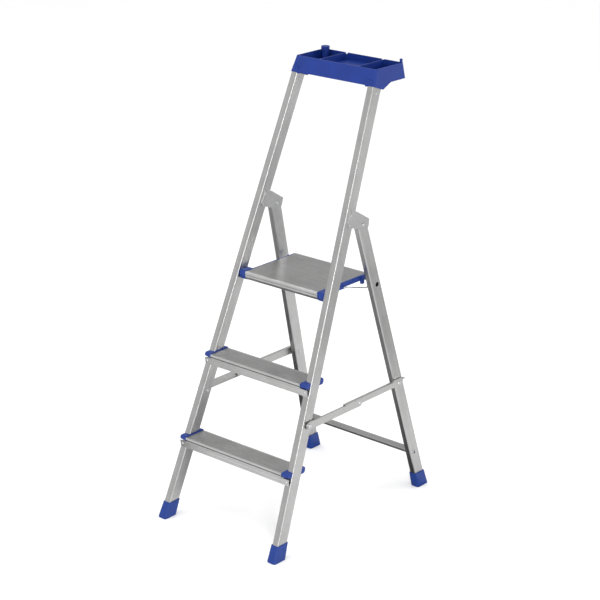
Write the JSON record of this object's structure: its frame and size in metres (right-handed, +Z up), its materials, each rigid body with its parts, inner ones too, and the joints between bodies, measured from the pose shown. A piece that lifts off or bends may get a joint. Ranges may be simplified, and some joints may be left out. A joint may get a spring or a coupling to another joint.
{
  "type": "step stool",
  "caption": "Tall folding aluminium step stool with flat treads, a fold-up platform, splayed rear legs on hinged braces and a plastic tool tray on its raised hand frame.",
  "frame": {"origin": "on the floor, in the middle of the four feet's footprint", "axes": "+Z up, +Y from the climbing side towards the rear legs, +X to the right of someone who faces the treads"},
  "size_m": [0.4402, 0.6757, 1.2565],
  "materials": {
    "aluminium_profile": "satin, drawn lengthwise",
    "aluminium_leg": "satin, drawn lengthwise",
    "aluminium_deck": "satin, ribbed",
    "blue_foot": "fine grain",
    "blue_cap": "fine grain",
    "blue_tray": "fine grain",
    "bracket_steel": "zinc plated",
    "brace_steel": "zinc plated",
    "wire_steel": "zinc plated",
    "rivet_steel": "plated",
    "washer_nylon": "smooth"
  },
  "bodies": {
    "front_frame": {"left_stile": "aluminium_profile", "right_stile": "aluminium_profile", "left_front_foot": "blue_foot", "right_front_foot": "blue_foot", "lower_tread": "aluminium_profile", "middle_tread": "aluminium_profile", "left_lower_tread_cap": "blue_cap", "right_lower_tread_cap": "blue_cap", "left_middle_tread_cap": "blue_cap", "right_middle_tread_cap": "blue_cap", "lower_tread_rivets": "rivet_steel", "middle_tread_rivets": "rivet_steel", "tool_tray": "blue_tray", "tray_rivets": "rivet_steel", "left_hinge_bracket": "bracket_steel", "right_hinge_bracket": "bracket_steel", "bracket_rivets": "rivet_steel", "left_hinge_pin": "rivet_steel", "right_hinge_pin": "rivet_steel", "hinge_washers": "washer_nylon", "left_brace_front_rivet": "rivet_steel", "right_brace_front_rivet": "rivet_steel", "platform_pins": "rivet_steel"},
    "rear_frame": {"left_rear_leg": "aluminium_leg", "right_rear_leg": "aluminium_leg", "left_rear_foot": "blue_foot", "right_rear_foot": "blue_foot", "rear_crossbar": "aluminium_leg", "crossbar_rivets": "rivet_steel", "brace_leg_rivets": "rivet_steel"},
    "platform": {"platform_deck": "aluminium_deck", "left_platform_cap": "blue_cap", "right_platform_cap": "blue_cap"},
    "left_wire": {"left_wire_link": "wire_steel"},
    "left_brace_front": {"left_brace_front": "brace_steel", "left_brace_mid_rivet": "rivet_steel"},
    "left_brace_rear": {"left_brace_rear": "brace_steel", "left_brace_rear_rivet": "rivet_steel"},
    "right_wire": {"right_wire_link": "wire_steel"},
    "right_brace_front": {"right_brace_front": "brace_steel", "right_brace_mid_rivet": "rivet_steel"},
    "right_brace_rear": {"right_brace_rear": "brace_steel", "right_brace_rear_rivet": "rivet_steel"}
  },
  "joints": [
    {"name": "rear_fold", "type": "hinge", "parent": "front_frame", "child": "rear_frame", "pos_m": [0, 0.08626, 0.838], "axis": [-1, 0, 0], "range_deg": [0, 37.2]},
    {"name": "platform_fold", "type": "hinge", "parent": "front_frame", "child": "platform", "pos_m": [0, -0.04844, 0.662], "axis": [1, 0, 0], "range_deg": [0, 68.11]},
    {"name": "left_wire_swing", "type": "hinge", "parent": "platform", "child": "left_wire", "pos_m": [-0.139, 0.04496, 0.664], "axis": [-1, 0, 0], "range_deg": [0, 132.21]},
    {"name": "left_brace_lift", "type": "hinge", "parent": "front_frame", "child": "left_brace_front", "pos_m": [-0.199, -0.17354, 0.345], "axis": [1, 0, 0], "range_deg": [0, 73.89]},
    {"name": "left_brace_break", "type": "hinge", "parent": "left_brace_front", "child": "left_brace_rear", "pos_m": [-0.202, 0.03696, 0.345], "axis": [-1, 0, 0], "range_deg": [0, 160.84]},
    {"name": "right_wire_swing", "type": "hinge", "parent": "platform", "child": "right_wire", "pos_m": [0.139, 0.04496, 0.664], "axis": [-1, 0, 0], "range_deg": [0, 132.21]},
    {"name": "right_brace_lift", "type": "hinge", "parent": "front_frame", "child": "right_brace_front", "pos_m": [0.199, -0.17354, 0.345], "axis": [1, 0, 0], "range_deg": [0, 73.89]},
    {"name": "right_brace_break", "type": "hinge", "parent": "right_brace_front", "child": "right_brace_rear", "pos_m": [0.202, 0.03696, 0.345], "axis": [-1, 0, 0], "range_deg": [0, 160.84]}
  ],
  "couplings": [
    {"joint": "platform_fold", "follows": "rear_fold", "ratio": 1.8304},
    {"joint": "left_wire_swing", "follows": "rear_fold", "ratio": 3.5536},
    {"joint": "left_brace_lift", "follows": "rear_fold", "ratio": 1.9858},
    {"joint": "left_brace_break", "follows": "rear_fold", "ratio": 4.323},
    {"joint": "right_wire_swing", "follows": "rear_fold", "ratio": 3.5536},
    {"joint": "right_brace_lift", "follows": "rear_fold", "ratio": 1.9858},
    {"joint": "right_brace_break", "follows": "rear_fold", "ratio": 4.323}
  ]
}
